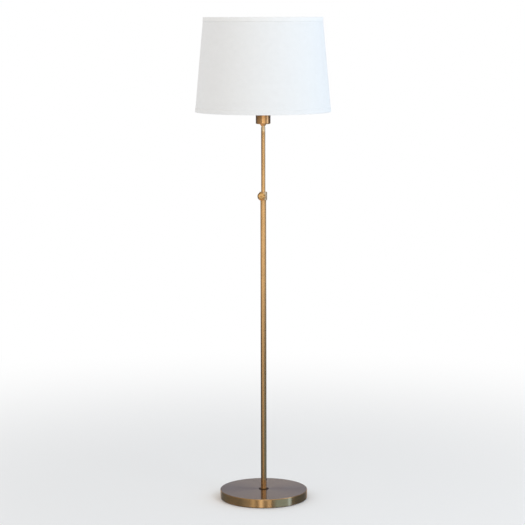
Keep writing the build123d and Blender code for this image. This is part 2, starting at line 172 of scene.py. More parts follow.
class Paint(Graph):
    def __init__(self, name, constants):
        self.material = bpy.data.materials.new(name)
        self.material.use_nodes = True
        super().__init__(self.material.node_tree)
        self.shader = self.tree.nodes["Principled BSDF"]
        for socket, value in constants.items():
            self.shader.inputs[socket].default_value = value

    def place(self):
        return self.node("ShaderNodeTexCoord", {}, {}, "Object")

    def cut(self):
        return self.node("ShaderNodeUVMap", {"uv_map": "cut"}, {})

    def feed(self, socket, value):
        self.tree.links.new(value.socket, self.shader.inputs[socket])

    def tones(self, share, first, second):
        self.feed("Base Color", self.blend(share, tint(first), tint(second)))

    def finish(self, look, height, *parts):
        # rough is a base and a share of each part; relief is the strength and depth of the height
        base, *shares = look["rough"]
        strength, depth = look["relief"]
        inputs = {"Strength": strength, "Distance": depth, "Height": height}
        self.feed("Roughness", sum((part * share for part, share in zip(parts, shares)), base))
        self.feed("Normal", self.node("ShaderNodeBump", {}, inputs))
        return self

    def coat(self, *nodeNames):
        for name in nodeNames:
            for slot in nodes[name].material_slots:
                slot.material = self.material


# Axes that a turned finish runs round: a point, two side directions and the axis itself
poleAxes = ((0.0, 0.0, 0.0), (1.0, 0.0, 0.0), (0.0, 1.0, 0.0), (0.0, 0.0, 1.0))
screwJoint = joints["clamp_screw_turn"]
screwAxis = np.array(screwJoint["axis"], float)
screwSide = np.cross((0.0, 0.0, 1.0), screwAxis)
screwAxes = (tuple(screwJoint["pos_m"]), tuple(screwSide), (0.0, 0.0, 1.0), tuple(screwAxis))
inlet = next(mount for mount in frame["record"]["mounts"] if mount["name"] == "cord_inlet")
bushingAxes = (tuple(inlet["pos_m"]), (1.0, 0.0, 0.0), (0.0, 0.0, 1.0), tuple(inlet["axis"]))

# Brushing: the noise that draws the lines, and how fast they follow each other up a wall
brushing = {"detail": 3.0, "roughness": 0.6, "climb": 1.37}


def turnedLines(paint, axes, look):
    # noise on (direction from the axis, run along the profile): thin lines that go round the axis
    origin, sideOne, sideTwo, axis = axes
    arm = paint.vector("SUBTRACT", paint.place(), origin)
    across = paint.vector("DOT_PRODUCT", arm, sideOne)
    over = paint.vector("DOT_PRODUCT", arm, sideTwo)
    height = paint.vector("DOT_PRODUCT", arm, axis)
    flat = paint.join(across, over, 0.0)
    radius = paint.vector("LENGTH", flat)
    facing = paint.split(paint.vector("NORMALIZE", flat))
    run = (radius + height * brushing["climb"]) * (look["linesPerMm"] / mm)
    spots = paint.join(facing[0] * look["changesRound"], facing[1] * look["changesRound"], run)
    return paint.noise(spots, 1.0, brushing["detail"], brushing["roughness"]), radius, height


def drawnLines(paint, look):
    # noise squeezed across the tube and stretched along it
    squeeze = (look["linesPerMm"] / mm, look["linesPerMm"] / mm, 1.0 / look["streak"])
    spots = paint.vector("MULTIPLY", paint.place(), squeeze)
    return paint.noise(spots, 1.0, brushing["detail"], brushing["roughness"])


metal = {"Metallic": 1.0}
brass = {
    "color": (0.76, 0.455, 0.195),
    "patina": (0.42, 0.235, 0.095),
    "patinaShare": 0.30,
    "patinaScale": 26.0,
    "patinaRange": (0.40, 0.78),
    "rough": (0.21, 0.12, 0.05),
    "linesPerMm": 2.6,
    "changesRound": 2.2,
    "lineShare": 0.3,
    "relief": (0.10, 0.04 * mm),
}


def brassSkin(paint, look, lines, paintedShade=None, highlight=None):
    # brown patina in soft patches and in the brushing, over an alloy colour; a caller may add painted shade to the
    # patina share, and a painted highlight that makes the alloy paler
    cloud = paint.noise(paint.place(), look["patinaScale"], detail=4.0, roughness=0.55)
    patches = paint.ease(cloud, *look["patinaRange"])
    streaks = lines - 0.5  # the noise lies about 0.5
    shade = patches * look["patinaShare"] + streaks * look["lineShare"]
    # painted shade from the caller darkens towards the patina colour
    if paintedShade is not None:
        shade = shade + paintedShade
    alloy = tint(look["color"])
    if highlight is not None:
        alloy = paint.blend(highlight, alloy, tint(look["paintedHighlightColor"]))
    paint.feed("Base Color", paint.blend(shade.most(0.0).least(1.0), alloy, tint(look["patina"])))
    return paint.finish(look, lines, streaks, patches)


tubeLook = brass | {
    "patinaShare": 0.16,
    "rough": (0.21, 0.06, 0.05),
    "lineShare": 0.18,
    "relief": (0.03, 0.04 * mm),
    "streak": 60.0 * mm,
    # painted shade towards the foot, and a painted highlight colour for the top of the inner tube
    "footPaintedShade": 0.60,
    "footReach": 0.62,
    "paintedHighlightColor": (0.96, 0.70, 0.385),
    "highlightTop": 7.5 * mm,
    "highlightFade": 2.5 * mm,
}


def tubeBrass(look):
    # darker down towards the foot as painted shade, and paler at the very top of the inner tube as a painted
    # highlight
    paint = Paint("tubeBrass", metal)
    height = paint.split(paint.place())[2]
    down = 1 - paint.ease(height, 0.0, look["footReach"])
    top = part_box("inner_tube")[1].z - look["highlightTop"]
    # painted highlight: the alloy turns paler over the top few millimetres
    highlight = paint.ease(height, top - look["highlightFade"], top + look["highlightFade"])
    return brassSkin(paint, look, drawnLines(paint, look), down * look["footPaintedShade"], highlight)


def turnedBrass(name, look):
    paint = Paint(name, metal)
    return brassSkin(paint, look, turnedLines(paint, poleAxes, look)[0])


collarLook = brass | {
    "color": (0.92, 0.70, 0.42),
    "patina": (0.60, 0.48, 0.31),
    "patinaShare": 0.4,
    "rough": (0.44, 0.12, 0.05),
}

tubeBrass(tubeLook).coat("lower_tube", "inner_tube")
turnedBrass("collarBrass", collarLook).coat("clamp_collar")
print("brass finished")


bronze = {
    "brown": (0.060, 0.028, 0.014),
    "worn": (0.22, 0.11, 0.05),
    "wornShare": 0.5,
    "wornScale": 180.0,
    "wornRange": (0.5, 0.8),
    "bright": (0.60, 0.345, 0.14),
    "lipFrom": 1.2 * mm,
    "lipTo": 1.8 * mm,
    "rough": (0.4, 0.1, -0.2),
    "linesPerMm": 2.0,
    "changesRound": 2.0,
    "relief": (0.06, 0.05 * mm),
}


def darkBronze(look):
    # browned flange with worn spots, its lip round the pole rubbed as bright as the pole
    paint = Paint("darkBronze", metal)
    lines, height = turnedLines(paint, poleAxes, look)[::2]
    spots = paint.noise(paint.place(), look["wornScale"], detail=3.0)
    worn = paint.ease(spots, *look["wornRange"]) * look["wornShare"]
    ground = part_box("foot_ring")[0].z
    lip = paint.ease(height, ground + look["lipFrom"], ground + look["lipTo"])
    brown = paint.blend(worn, tint(look["brown"]), tint(look["worn"]))
    paint.feed("Base Color", paint.blend(lip, brown, tint(look["bright"])))
    return paint.finish(look, lines, lines, lip)


plating = {
    "color": (0.72, 0.50, 0.23),
    "tarnish": (0.50, 0.32, 0.13),
    "tarnishShare": 0.45,
    "hazeScale": 90.0,
    "hazeRange": (0.3, 0.8),
    "rough": (0.14, 0.05, 0.16),
    "linesPerMm": 3.0,
    "streak": 20.0 * mm,
    "relief": (0.05, 0.03 * mm),
}


def platedWire(look):
    # bright brass plating with faint drawing marks and finger haze
    paint = Paint("platedWire", metal)
    haze = paint.noise(paint.place(), look["hazeScale"], detail=4.0, roughness=0.6)
    lines = drawnLines(paint, look)
    dull = paint.ease(haze, *look["hazeRange"])
    paint.tones(haze * look["tarnishShare"], look["color"], look["tarnish"])
    return paint.finish(look, lines, lines, dull)


drawnSheet = {
    "color": (0.70, 0.51, 0.25),
    "oxide": (0.42, 0.27, 0.11),
    "oxideShare": 0.5,
    "lineShare": 0.3,
    "spotScale": 260.0,
    "spotRange": (0.55, 0.75),
    "rough": (0.26, 0.12, 0.15),
    "linesPerMm": 1.6,
    "streak": 12.0 * mm,
    "relief": (0.08, 0.05 * mm),
}


def socketBrass(look):
    # thin drawn sheet: draw lines up the wall and dull oxide spots
    paint = Paint("socketBrass", metal)
    lines = drawnLines(paint, look)
    grains = paint.noise(paint.place(), look["spotScale"], detail=3.0, roughness=0.7)
    spots = paint.ease(grains, *look["spotRange"])
    shade = spots * look["oxideShare"] + (lines - 0.5) * look["lineShare"]
    paint.tones(shade.most(0.0), look["color"], look["oxide"])
    return paint.finish(look, lines, lines, spots)


fibre = {
    "tones": ((0.20, 0.13, 0.08), (0.40, 0.29, 0.19)),
    "lengthen": (1.0, 1.0, 0.2),
    "fleckScale": 1500.0,
    "fleckRange": (0.35, 0.7),
    "rough": (0.65, 0.2),
    "relief": (0.25, 0.08 * mm),
}


def fibreBoard(look):
    # pressed fibre sleeve: flecks of light and dark fibre along the sheet
    paint = Paint("fibreBoard", {})
    long = paint.vector("MULTIPLY", paint.place(), look["lengthen"])
    fleck = paint.noise(long, look["fleckScale"], detail=4.0, roughness=0.7)
    paint.tones(paint.ease(fleck, *look["fleckRange"]), *look["tones"])
    return paint.finish(look, fleck, fleck)


# Skins by material slot: two tones in soft clouds, under a fine grain or under lines turned round the pole
# cloud and grain are the (scale, detail, roughness) of a noise
skins = {
    # zinc plate: bluish grey spangle and turning marks
    "zinc_steel": {
        "name": "zincSteel",
        "sockets": metal,
        "tones": ((0.52, 0.53, 0.54), (0.66, 0.66, 0.63)),
        "cloud": (420.0, 2.0),
        "linesPerMm": 2.4,
        "changesRound": 2.0,
        "rough": (0.26, 0.15, 0.1),
        "relief": (0.1, 0.05 * mm),
    },
    # bare aluminium, toned by its turning marks
    "bulb_metal": {
        "name": "bulbMetal",
        "sockets": metal,
        "tones": ((0.66, 0.66, 0.65), (0.80, 0.80, 0.78)),
        "linesPerMm": 1.8,
        "changesRound": 2.0,
        "rough": (0.2, 0.18, 0.0),
        "relief": (0.1, 0.05 * mm),
    },
    # sand-cast skin under thin black paint
    "cast_weight": {
        "name": "castIron",
        "tones": ((0.035, 0.035, 0.036), (0.085, 0.082, 0.078)),
        "cloud": (120.0, 3.0),
        "grain": (900.0, 5.0, 0.7),
        "lumps": 0.6,
        "rough": (0.55, 0.25, 0.0),
        "relief": (0.5, 0.3 * mm),
    },
    # milky bearing plastic, glossier in patches
    "nylon": {
        "name": "nylon",
        "sockets": {"Subsurface Weight": 0.1, "Subsurface Radius": (0.002, 0.002, 0.0015)},
        "tones": ((0.80, 0.78, 0.71), (0.88, 0.86, 0.80)),
        "cloud": (140.0, 3.0),
        "grain": (2200.0, 2.0),
        "rough": (0.34, 0.0, 0.15),
        "relief": (0.08, 0.05 * mm),
    },
    # phenolic moulding: fine spark-eroded grain with shinier high spots
    "black_plastic": {
        "name": "blackMoulding",
        "sockets": {"Specular IOR Level": 0.45},
        "tones": ((0.018, 0.017, 0.016), (0.034, 0.032, 0.030)),
        "cloud": (160.0, 3.0),
        "grain": (2600.0, 3.0, 0.6),
        "rough": (0.34, 0.2, 0.0),
        "relief": (0.15, 0.06 * mm),
    },
    # white moulded housing of the bulb
    "bulb_housing": {
        "name": "bulbHousing",
        "tones": ((0.80, 0.80, 0.78), (0.86, 0.86, 0.85)),
        "cloud": (60.0, 2.0),
        "grain": (1800.0, 2.0),
        "rough": (0.32, 0.15, 0.0),
        "relief": (0.06, 0.04 * mm),
    },
    # frosted dome: soft cloud from the diffuser's moulding
    "bulb_opal": {
        "name": "bulbOpal",
        "sockets": {"Subsurface Weight": 0.25, "Subsurface Radius": (0.004, 0.004, 0.004)},
        "tones": ((0.83, 0.82, 0.78), (0.89, 0.89, 0.86)),
        "cloud": (45.0, 2.0),
        "grain": (3200.0, 2.0),
        "rough": (0.42, 0.15, 0.0),
        "relief": (0.05, 0.03 * mm),
    },
    # matt white film laminated inside the linen, with a faint orange-peel
    "styrene": {
        "name": "styrene",
        "tones": ((0.82, 0.82, 0.80), (0.87, 0.87, 0.86)),
        "cloud": (9.0, 2.0),
        "grain": (700.0, 2.0),
        "rough": (0.42, 0.15, 0.0),
        "relief": (0.1, 0.08 * mm),
    },
    # powder-coated wire: pebbled skin, a little yellowed
    "white_wire": {
        "name": "whiteWire",
        "tones": ((0.80, 0.79, 0.75), (0.85, 0.85, 0.83)),
        "cloud": (25.0, 2.0),
        "grain": (1400.0, 2.0),
        "rough": (0.34, 0.15, 0.0),
        "relief": (0.2, 0.08 * mm),
    },
}


def skinPaint(look):
    paint = Paint(look["name"], look.get("sockets", {}))
    if "grain" in look:
        grain = paint.noise(paint.place(), *look["grain"])
    else:
        grain = turnedLines(paint, poleAxes, look)[0]
    cloud = paint.noise(paint.place(), *look["cloud"]) if "cloud" in look else grain
    height = grain + cloud * look["lumps"] if "lumps" in look else grain
    paint.tones(cloud, *look["tones"])
    return paint.finish(look, height, grain, cloud)


slotPaints = {slot: skinPaint(look) for slot, look in skins.items()} | {
    "dark_bronze": darkBronze(bronze),
    "plated_wire": platedWire(plating),
    "socket_brass": socketBrass(drawnSheet),
    "fibre": fibreBoard(fibre),
}
for subpart in frame["record"]["subparts"]:
    if subpart["material_slot"] in slotPaints:
        slotPaints[subpart["material_slot"]].coat(subpart["node"])
print("other finishes on")


def gridMesh(name, points, closedAround, closedAlong, cut=None, keep=None):
    # points is rows x columns x 3; every cell of the grid, or those to keep, is a face
    # a closed side joins its last points to its first
    rows, columns = points.shape[:2]
    row, column = np.meshgrid(
        np.arange(rows if closedAlong else rows - 1),
        np.arange(columns if closedAround else columns - 1),
        indexing="ij",
    )
    rowPairs = [row, row, row + 1, row + 1]
    columnPairs = [column, column + 1, column + 1, column]
    corners = [r % rows * columns + c % columns for r, c in zip(rowPairs, columnPairs)]
    faces = np.stack(corners, -1).reshape(-1, 4)
    if keep is not None:
        faces = faces[keep.ravel()]
    used, faces = np.unique(faces, return_inverse=True)
    mesh = bpy.data.meshes.new(name)
    mesh.from_pydata(points.reshape(-1, 3)[used], [], faces.reshape(-1, 4))
    if cut is not None:
        layer = mesh.uv_layers.new(name="cut")
        flat = np.stack([cut[r, c] for r, c in zip(rowPairs, columnPairs)], -2)
        layer.data.foreach_set("uv", flat.astype(np.float32).ravel())
    mesh.polygons.foreach_set("use_smooth", np.ones(len(mesh.polygons), bool))
    mesh.update()
    return mesh


def closePoles(mesh):
    # columns that meet on the axis become one point
    work = bmesh.new()
    work.from_mesh(mesh)
    bmesh.ops.remove_doubles(work, verts=work.verts, dist=1e-7)
    work.to_mesh(mesh)
    work.free()


def addPiece(mesh, body, slot, paint, *replaced):
    piece = bpy.data.objects.new(mesh.name, mesh)
    mesh.materials.append(paint.material)
    scene.collection.objects.link(piece)
    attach(piece, body)
    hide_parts(*replaced)
    return piece


def addWall(piece, thickness):
    wall = piece.modifiers.new("wall", "SOLIDIFY")
    wall.thickness = thickness
    wall.offset = -1.0


def roundedRun(corners, steps=5, hold=0.25 * mm):
    # each (r, z, round) corner becomes an arc tangent to its two sides
    # a straight side gets a point near each end, which holds the shading of the arcs
    points = np.array([corner[:2] for corner in corners], float)
    rounds = [corner[2] for corner in corners[1:-1]]
    run = [points[:1]]
    for before, here, after, radius in zip(points, points[1:], points[2:], rounds):
        back = (before - here) / np.linalg.norm(before - here)
        ahead = (after - here) / np.linalg.norm(after - here)
        half = np.arccos(np.clip(back @ ahead, -1, 1)) / 2
        centre = here + (back + ahead) / np.linalg.norm(back + ahead) * radius / np.sin(half)
        start = here + back * radius / np.tan(half) - centre
        end = here + ahead * radius / np.tan(half) - centre
        share = np.linspace(0, 1, steps + 1)[:, None]
        turn = pi - 2 * half
        arc = (np.sin((1 - share) * turn) * start + np.sin(share * turn) * end) / np.sin(turn)
        run.append(centre + arc)
    run = np.concatenate(run + [points[-1:]])
    side = np.diff(run, axis=0)
    length = np.linalg.norm(side, axis=1, keepdims=True)
    step = np.where(length > 4 * hold, hold / np.maximum(length, 1e-12), 0.0)
    near = np.stack([run[:-1], run[:-1] + side * step, run[1:] - side * step], 1).reshape(-1, 2)
    keep = np.linalg.norm(np.diff(near, axis=0, append=run[-1:]), axis=1) > 1e-9
    return np.concatenate([near[keep], run[-1:]])


def spokes(angles, axes):
    # directions square to the axis: side one cos + side two sin
    return np.cos(angles)[:, None] * np.array(axes[1]) + np.sin(angles)[:, None] * np.array(axes[2])


def turnRun(run, angles, axes):
    # every (r, h) of the run goes round the axis: origin + r spoke + h axis
    return np.array(axes[0]) + run[:, None, :1] * spokes(angles, axes) + run[:, None, 1:] * np.array(axes[3])


def fullTurn(columns):
    return np.linspace(0, 2 * pi, columns, endpoint=False)


def fromAxis(node, axes):
    # how far each point of a CAD node lies along an axis, and how far it stands from it
    flat = np.empty(len(nodes[node].data.vertices) * 3, np.float32)
    nodes[node].data.vertices.foreach_get("co", flat)
    arm = flat.reshape(-1, 3) - np.array(axes[0])
    along = arm @ np.array(axes[3])
    return along, np.linalg.norm(arm - along[:, None] * np.array(axes[3]), axis=1)


def reach(node, axes):
    along, out = fromAxis(node, axes)
    return along.min(), along.max(), out.max()


def levels(node, axes=poleAxes):
    # the radii and the heights that a turned CAD node steps through, smallest first
    along, out = fromAxis(node, axes)
    return np.unique(np.round(out, 5)), np.unique(np.round(along, 5))


# Foot cap: spun brass over the weight, with the cord's hole pierced in its back
foot = brass | {
    # grey patina colour, which the random patches and the painted shade on the top both darken towards
    "patina": (0.45, 0.35, 0.265),
    "patinaShare": 0.15,
    "rough": (0.17, 0.08, 0.05),
    "linesPerMm": 1.5,
    "changesRound": 3.0,
    "topPaintedShade": 0.87,
    "rimWidth": 1.8 * mm,
    "columns": 240,
    "wall": 1.2 * mm,
    "edgeRound": 2.0 * mm,
    "edgeSteps": 8,
    "holeClearance": 0.1 * mm,
    "holeCells": 4,
    "patchCells": 10,
    "patchSize": 15.0 * mm,
}


def footBrass(look):
    # darker over the top as painted shade, left off along the rim
    paint = Paint("footBrass", metal | {"Anisotropic": 0.85, "Anisotropic Rotation": 0.25})
    lines, radius, height = turnedLines(paint, poleAxes, look)
    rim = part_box("base_cover")[1]
    inside = 1 - paint.ease(radius, rim.x - look["rimWidth"], rim.x)
    upper = paint.ease(height, rim.z - look["rimWidth"], rim.z)
    # painted shade over the top, left off along the rim
    return brassSkin(paint, look, lines, inside * upper * look["topPaintedShade"])


def spinFootCap(look):
    # skirt, rounded rim and top turned about the pole, with a square patch of even cells at the cord's hole
    # the patch's middle cells go, and the rest pass from circles at the hole to squares at its edge
    low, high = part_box("base_cover")
    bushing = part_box("cord_bushing")
    axis = (bushing[0].z + bushing[1].z) / 2
    hole = levels("cord_bushing", bushingAxes)[0][1] + look["holeClearance"]
    half = look["patchSize"] / 2
    even = np.linspace(-half, half, look["patchCells"] + 1)
    wide = np.linspace(half / high.x, 2 * pi - half / high.x, look["columns"])[1:-1]
    angles = np.concatenate([even / high.x, wide])
    top = roundedRun([
        (high.x, axis + half, 0.0),
        (high.x, high.z, look["edgeRound"]),
        (levels("base_cover")[0][0], high.z, 0.0),
    ], look["edgeSteps"])
    skirt = np.stack([0 * even + high.x, axis + even], -1)
    run = np.concatenate([[[high.x, low.z]], skirt, top[1:]])
    across = np.where(angles < pi, angles, angles - 2 * pi) * high.x + 0 * run[:, :1]
    rise = run[:, 1:] - axis + 0 * angles
    square = np.maximum(np.abs(across), np.abs(rise)) / half
    hair = 1.001  # lets in the points that lie on an edge
    inPatch = (square <= hair) & (run[:, :1] > high.x - 1e-6)
    inner = look["holeCells"] / look["patchCells"]
    share = np.clip((square - inner) / (1 - inner), 0, 1)
    ring = hole / np.maximum(np.hypot(across, rise), 1e-9)
    pull = np.where(inPatch, (1 - share) * ring + share, 1.0)
    points = turnRun(run, angles + pi / 2, poleAxes)
    bent = across * pull / high.x + pi / 2
    wallPoints = np.stack([high.x * np.cos(bent), high.x * np.sin(bent), axis + rise * pull], -1)
    points = np.where(inPatch[..., None], wallPoints, points)
    inHole = inPatch & (square < inner * hair)
    cells = inHole[:-1] & inHole[1:]
    keep = ~(cells & np.roll(cells, -1, 1))
    mesh = gridMesh("foot_cap", points, True, False, None, keep)
    addWall(addPiece(mesh, "stand", "antique_brass", footBrass(look), "base_cover"), look["wall"])


spinFootCap(foot)
print("foot cap spun")


# Small turnings: each outline counts through the CAD node's own radii and heights
# it runs from the foot of the bore outwards and up, and its edges are broken
turning = {"columns": 144, "steps": 4, "hold": 0.15 * mm}
# the cone below the cup gets a brightened copy of the brass: painted light on its downward face
seatLitLook = brass | {"color": (0.98, 0.64, 0.30), "patinaShare": 0.0, "lineShare": 0.15}
# the neck is coloured all over in the paler painted-highlight colour
neckHighlightLook = tubeLook | {"color": tubeLook["paintedHighlightColor"], "patina": (0.60, 0.41, 0.21)}
turnings = {
    "pole_ring": {
        "node": "foot_ring",
        "body": "stand",
        "slot": "dark_bronze",
        "paint": slotPaints["dark_bronze"],
        "outline": [(0, 0), (-1, 0), (-1, 1), (1, 1), (1, -1), (0, -1)],
        "edge": 0.3 * mm,
    },
    "neck_turning": {
        "node": "neck_ring",
        "body": "column",
        "slot": "antique_brass",
        "paint": turnedBrass("neckHighlightBrass", neckHighlightLook),
        "outline": [(0, 0), (2, 0), (2, 2), (1, 2), (1, 3), (0, 3)],
        "edge": 0.25 * mm,
    },
    "cup_cone": {
        "node": "cup_seat",
        "body": "column",
        "slot": "antique_brass",
        "paint": turnedBrass("seatLitBrass", seatLitLook),
        "outline": [(0, 0), (1, 0), (-1, -1), (0, -1)],
        "edge": 0.3 * mm,
    },
}
cup = brass | {
    "color": (0.80, 0.455, 0.19),
    "patina": (0.38, 0.19, 0.085),
    "patinaShare": 0.25,
    "rough": (0.17, 0.12, 0.05),
    "wall": 1.0 * mm,
    "lowerRound": 2.5 * mm,
    "innerRound": 1.5 * mm,
    "rimRound": 0.4 * mm,
    "boreEdge": 0.1 * mm,
    # painted shade: the cup darkened towards its rim
    "rimPaintedShade": 0.8,
    "rimShadeReach": 28.0 * mm,
}
# Finial: the stud's hole, then corners, as shares of its radius and height; corners have their rounds
finial = brass | {
    "color": plating["color"],
    "patina": plating["tarnish"],
    "rough": (0.18, 0.12, 0.05),
    "steps": 8,
    "hole": (0.43, 0.45),
    "holeEdge": 0.2 * mm,
    "outline": [
        (0.87, 0.00, 0.5 * mm),
        (0.87, 0.10, 0.6 * mm),
        (0.64, 0.22, 1.2 * mm),
        (1.00, 0.42, 3.0 * mm),
        (1.00, 0.80, 6.0 * mm),
        (0.53, 1.00, 4.0 * mm),
    ],
}


def addTurning(name, corners, body, slot, paint, node):
    # closed outline carried round the pole, begun and ended in the middle of its bore
    seam = ((corners[0][0] + corners[-1][0]) / 2, (corners[0][1] + corners[-1][1]) / 2, 0.0)
    run = roundedRun([seam, *corners, seam], turning["steps"], turning["hold"])[:-1]
    points = turnRun(run, fullTurn(turning["columns"]), poleAxes)
    addPiece(gridMesh(name, points, True, True), body, slot, paint, node)


def turnSmallPieces(looks):
    for name, look in looks.items():
        radii, heights = levels(look["node"])
        corners = [(radii[r], heights[h], look["edge"]) for r, h in look["outline"]]
        addTurning(name, corners, look["body"], look["slot"], look["paint"], look["node"])


def cupBrass(look):
    # darker up towards the rim, as painted shade under the lampshade
    paint = Paint("cupBrass", metal)
    lines, height = turnedLines(paint, poleAxes, look)[::2]
    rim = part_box("socket_cup")[1].z
    upper = paint.ease(height, rim - look["rimShadeReach"], rim)
    return brassSkin(paint, look, lines, upper * look["rimPaintedShade"])


def turnCup(look):
    # wall and floor of one thickness, turned about the pole
    low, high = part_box("socket_cup")
    bore = levels("socket_cup")[0][0]
    inside = high.x - look["wall"]
    ground = low.z + look["wall"]
    corners = [
        (bore, low.z, look["boreEdge"]),
        (high.x, low.z, look["lowerRound"]),
        (high.x, high.z, look["rimRound"]),
        (inside, high.z, look["rimRound"]),
        (inside, ground, look["innerRound"]),
        (bore, ground, look["boreEdge"]),
    ]
    addTurning("lamp_cup", corners, "column", "antique_brass", cupBrass(look), "socket_cup")


def turnFinial(look):
    # outline from the middle of the hole's end round to the middle of the tip, carried round the pole
    low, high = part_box("finial")
    tall = high.z - low.z
    bore = look["hole"][0] * high.x
    holeTop = low.z + look["hole"][1] * tall
    corners = [(out * high.x, low.z + up * tall, edge) for out, up, edge in look["outline"]]
    hole = [(0.0, holeTop, 0.0), (bore, holeTop, look["holeEdge"]), (bore, low.z, look["holeEdge"])]
    run = roundedRun([*hole, *corners, (0.0, high.z, 0.0)], look["steps"])
    points = turnRun(run, fullTurn(turning["columns"]), poleAxes)
    mesh = gridMesh("harp_finial", points, True, False)
    closePoles(mesh)
    addPiece(mesh, "column", "plated_wire", turnedBrass("finialBrass", look), "finial")


turnSmallPieces(turnings)
turnCup(cup)
turnFinial(finial)
print("small pieces turned")


# Shade: linen on a styrene cone, lapped at the back, its edges bound with tape cut on the bias
shade = {
    "columns": 420,
    "rows": 28,
    "lapWidth": 11.0 * mm,
    "lapLift": 0.66 * mm,
    "lapRun": 45.0 * mm,
    "bulge": 0.35 * mm,
    "bulgeUneven": 0.4,
    "bulgeWaves": (3, 5),
    "bulgePhase": 0.7,
    "tapeThickness": 0.6 * mm,
    "tapeLip": 0.1 * mm,
    "tapeRound": 0.5 * mm,
    "tapeSteps": 6,
    "tapeHold": 0.8 * mm,
    "tapeTip": 0.35,
    "color": (0.885, 0.885, 0.88),
    # darker tone for the painted shade between threads and for the threads' own uneven tone
    "gapShadeAndTone": (0.66, 0.655, 0.64),
    # the top tape a little paler than the body: painted light on the top edge
    "topTapePaintedLight": {"color": (0.912, 0.907, 0.893), "gapShadeAndTone": (0.72, 0.71, 0.69)},
}
weave = {
    "thread": 0.72 * mm,
    "biasTurn": 0.7071,
    "wanderScale": 60.0,
    "wanderReach": 0.9 * mm,
    "slubThin": 1400.0,
    "slubLong": 22.0,
    "slubApart": 3.7,
    "slubRange": (0.60, 0.82),
    "gapRange": (0.05, 0.45),
    "heights": (0.25, 0.5, 0.6),  # over and under, crown, slub
    "shades": (0.45, 0.10, 0.2),  # gap, plain thread, wander
    "rough": (0.92, -0.14),  # plain thread, slub
    "relief": (0.6, 0.15 * mm),
}
linenLow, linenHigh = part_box("shade_linen")
bottomLow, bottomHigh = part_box("shade_bottom_trim")
topLow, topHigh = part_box("shade_top_trim")
coneSlope = (bottomHigh.x - topHigh.x) / (topLow.z - bottomLow.z)
tapeStand = bottomHigh.x - coneSlope * (linenLow.z - bottomLow.z) - linenHigh.x
seamAngle = pi / 2


def coneRadius(z):
    # outside of the linen, which the tapes stand off by tapeStand
    return linenHigh.x - coneSlope * (z - linenLow.z)


def roundShade(r, z, around):
    # (r, z) carried round from the seam
    turned = around + seamAngle
    return np.stack(np.broadcast_arrays(r * np.cos(turned), r * np.sin(turned), z), -1)


def smoothStep(share):
    share = np.clip(share, 0, 1)
    return share * share * (3 - 2 * share)


def lapRise(around, look, fades):
    # how far cloth stands out near the seam: up along lapRun, level over the lap, then down if it fades
    lap = look["lapWidth"] / linenHigh.x
    run = look["lapRun"] / linenHigh.x
    rise = smoothStep((around - (2 * pi - run)) / run)
    if fades:
        rise = np.maximum(rise, smoothStep(1 - (around - lap) / lap))
    return rise * look["lapLift"]


def linenSurface(look):
    # cone over (angle, height): one turn and a lap, swelling a little between the tapes
    lap = look["lapWidth"] / linenHigh.x
    around = np.linspace(0, 2 * pi + lap, look["columns"])
    share = np.linspace(0, 1, look["rows"])[:, None]
    z = linenLow.z + share * (linenHigh.z - linenLow.z) + 0 * around
    slow, quick = look["bulgeWaves"]
    waves = np.sin(slow * around + look["bulgePhase"]) * np.sin(quick * around)
    uneven = 1 + look["bulgeUneven"] * (waves - 1)
    swell = look["bulge"] * np.sin(pi * share) ** 2 * uneven
    points = roundShade(coneRadius(z) + swell + lapRise(around, look, False), z, around)
    # the same cloth laid flat is a piece of a ring: distance from the cone's tip, and a smaller angle
    lean = coneSlope / np.hypot(1, coneSlope)
    fromTip = coneRadius(z) / lean
    flatAngle = lean * (around - pi) + 0 * z
    cut = np.stack([fromTip * np.sin(flatAngle), -fromTip * np.cos(flatAngle)], -1)
    halfAngle = lean * (pi + lap)
    tip = [coneRadius(linenHigh.z) / lean, coneRadius(linenLow.z) / lean]
    flatSize = (2 * tip[1] * np.sin(halfAngle), tip[1] - tip[0] * np.cos(halfAngle))
    flatArea = lean * (2 * pi + lap) / 2 * (tip[1] ** 2 - tip[0] ** 2)
    return points, cut, flatSize, flatArea


def linenPaint(name, look, onBias):
    # plain weave from the cut's own metres: threads cross over and under, with slubs and uneven thickness; the
    # gaps between threads are darkened as painted shade
    paint = Paint(name, {"Sheen Weight": 0.15, "Sheen Roughness": 0.5, "Specular IOR Level": 0.25})
    across, along = paint.split(paint.cut())[:2]
    if onBias:
        across, along = (across + along) * weave["biasTurn"], (along - across) * weave["biasTurn"]
    wander = paint.noise(paint.join(across, along, 0.0), weave["wanderScale"], detail=3.0)
    drift = (wander - 0.5) * weave["wanderReach"]
    warp = ((across + drift) * (pi / weave["thread"])).sine()
    weft = ((along + drift) * (pi / weave["thread"])).sine()
    crown = warp.size().least(weft.size())
    thin = weave["slubThin"]
    long = weave["slubLong"]
    slubUp = paint.noise(paint.join(across * thin, along * long, 0.0), 1.0)
    slubAcross = paint.noise(paint.join(across * long, along * thin, weave["slubApart"]), 1.0)
    slub = paint.ease(slubUp.most(slubAcross), *weave["slubRange"])
    over, up, thick = weave["heights"]
    gap, plain, uneven = weave["shades"]
    # painted shade in the gaps between threads; slub and wander add the threads' own tone
    gapShade = (1 - paint.ease(crown, *weave["gapRange"])) * gap
    dim = gapShade + (1 - slub) * plain + (wander - 0.5) * uneven
    paint.tones(dim.most(0.0).least(1.0), look["color"], look["gapShadeAndTone"])
    return paint.finish(weave, warp * weft * over + crown * up + slub * thick, slub)


